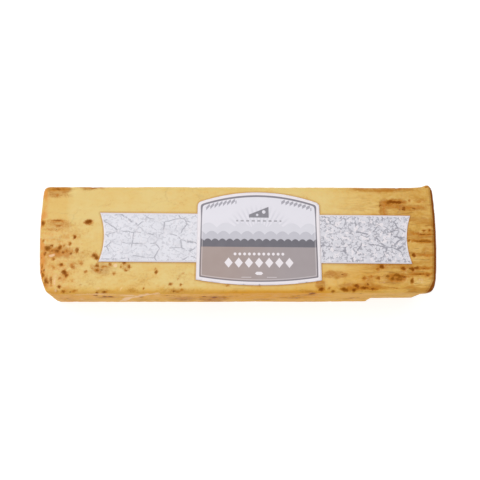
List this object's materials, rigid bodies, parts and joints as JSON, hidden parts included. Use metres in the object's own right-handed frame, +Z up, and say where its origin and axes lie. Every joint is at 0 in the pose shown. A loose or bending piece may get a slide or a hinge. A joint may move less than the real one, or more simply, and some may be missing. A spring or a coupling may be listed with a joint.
{
  "type": "smoked cheddar block",
  "caption": "Long rectangular block of smoked cheddar with rounded, worn edges and a plain printed paper label in two pieces on its broad top face.",
  "frame": {"origin": "on the surface that the block lies on, under the middle of its outer box", "axes": "+X along the block towards the end with the darker streaks, +Y to its back, +Z up through the labelled face"},
  "size_m": [0.2852, 0.0798, 0.0594],
  "materials": {
    "smoked_cheese": "satin, mottled straw to orange-brown",
    "ribbon_paper": "matt printed paper, pale lilac grey",
    "crest_paper": "matt printed paper, pale grey over taupe"
  },
  "bodies": {
    "root": {"cheese_block": "smoked_cheese", "ribbon_label": "ribbon_paper", "crest_label": "crest_paper"}
  },
  "joints": []
}
